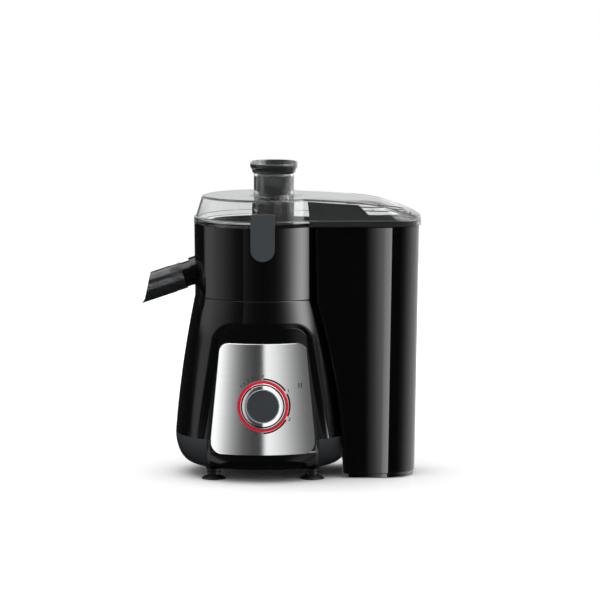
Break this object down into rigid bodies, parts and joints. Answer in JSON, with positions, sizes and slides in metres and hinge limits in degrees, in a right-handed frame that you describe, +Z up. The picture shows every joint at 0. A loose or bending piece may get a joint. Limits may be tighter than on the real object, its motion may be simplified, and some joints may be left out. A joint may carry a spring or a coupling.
{
  "type": "centrifugal juicer",
  "caption": "Countertop centrifugal juicer: round motor base with a dial, juice bowl with a turning spout, clear lid with feed chute and pusher, tall pulp container at its side.",
  "frame": {"origin": "centre of the whole machine's footprint on the worktop", "axes": "+Z up along the motor's drive axis, -Y towards the user and the dial, +X towards the pulp container"},
  "size_m": [0.3482, 0.2302, 0.389],
  "materials": {
    "gloss_black": "high gloss",
    "charcoal": "fine satin",
    "smoke_black": "semi gloss",
    "brushed_steel": "vertical brushing",
    "bright_metal": "bright turned",
    "red_gloss": "gloss",
    "black_plastic": "moulded",
    "rubber": "matte",
    "clear_plastic": "clear",
    "fine_mesh": "fine perforated sheet",
    "steel": "machined",
    "laminations": "varnished laminations",
    "copper": "enamelled wire",
    "die_cast": "die cast",
    "carbon": "carbon",
    "board": "circuit board"
  },
  "bodies": {
    "base": {"housing": "gloss_black", "base_tub": "charcoal", "tub_screws": "steel", "cord_gland": "rubber", "control_panel": "brushed_steel", "dial_seat": "black_plastic", "dial_trim_ring": "bright_metal", "dial_red_ring": "red_gloss", "switch_body": "black_plastic", "switch_nut": "steel", "control_board": "board", "motor_stator": "laminations", "field_coils": "copper", "lower_bracket": "die_cast", "upper_bracket": "die_cast", "lower_bearing": "steel", "upper_bearing": "steel", "motor_bolts": "steel", "brush_holders": "black_plastic", "carbon_brushes": "carbon", "brush_springs": "steel", "motor_dampers": "rubber", "mount_screws": "steel", "shaft_seal": "rubber", "foot_front_left": "rubber", "foot_front_right": "rubber", "foot_rear_left": "rubber", "foot_rear_right": "rubber"},
    "rotor": {"motor_shaft": "steel", "rotor_core": "laminations", "rotor_windings": "copper", "commutator": "copper", "cooling_fan": "black_plastic", "drive_coupling": "black_plastic"},
    "basket": {"basket_hub": "black_plastic", "grating_disc": "fine_mesh", "filter_mesh": "fine_mesh", "basket_rim": "black_plastic"},
    "bowl": {"juice_bowl": "gloss_black", "pulp_sill": "gloss_black", "pulp_deflector": "gloss_black", "nozzle_oring": "rubber", "latch_pins": "steel"},
    "spout": {"spout": "smoke_black"},
    "lid": {"lid": "clear_plastic"},
    "pusher": {"pusher": "smoke_black"},
    "front_latch": {"front_latch": "charcoal"},
    "rear_latch": {"rear_latch": "charcoal"},
    "knob": {"knob_ring": "bright_metal", "knob_cap": "charcoal", "switch_shaft": "steel"},
    "container": {"pulp_container": "gloss_black"}
  },
  "joints": [
    {"name": "rotor_spin", "type": "hinge", "parent": "base", "child": "rotor", "pos_m": [-0.02244, 0.0036, 0.233], "axis": [0, 0, 1], "continuous": true},
    {"name": "bowl_lift", "type": "slide", "parent": "base", "child": "bowl", "axis": [0, 0, 1], "range_m": [0, 0.05]},
    {"name": "basket_lift", "type": "slide", "parent": "rotor", "child": "basket", "axis": [0, 0, 1], "range_m": [0, 0.05]},
    {"name": "lid_lift", "type": "slide", "parent": "bowl", "child": "lid", "axis": [0, 0, 1], "range_m": [0, 0.066]},
    {"name": "front_latch_swing", "type": "hinge", "parent": "bowl", "child": "front_latch", "pos_m": [-0.02244, -0.0864, 0.277], "axis": [1, 0, 0], "range_deg": [0, 85]},
    {"name": "rear_latch_swing", "type": "hinge", "parent": "bowl", "child": "rear_latch", "pos_m": [-0.02244, 0.0936, 0.277], "axis": [-1, 0, 0], "range_deg": [0, 85]},
    {"name": "pusher_slide", "type": "slide", "parent": "lid", "child": "pusher", "axis": [0, 0, 1], "range_m": [0, 0.13]},
    {"name": "spout_turn", "type": "hinge", "parent": "bowl", "child": "spout", "pos_m": [-0.10744, 0.0036, 0.2523], "axis": [-0.9483, 0, -0.3173], "range_deg": [0, 180]},
    {"name": "knob_turn", "type": "hinge", "parent": "base", "child": "knob", "pos_m": [-0.02244, -0.09779, 0.096], "axis": [0, 0.9925, -0.1224], "range_deg": [-45, 120]},
    {"name": "container_slide", "type": "slide", "parent": "base", "child": "container", "axis": [1, 0, 0], "range_m": [0, 0.15]}
  ],
  "couplings": [
    {"joint": "basket_lift", "follows": "bowl_lift", "ratio": 1},
    {"joint": "front_latch_swing", "follows": "lid_lift", "rad_per_m": 22.4},
    {"joint": "rear_latch_swing", "follows": "lid_lift", "rad_per_m": 22.4}
  ]
}
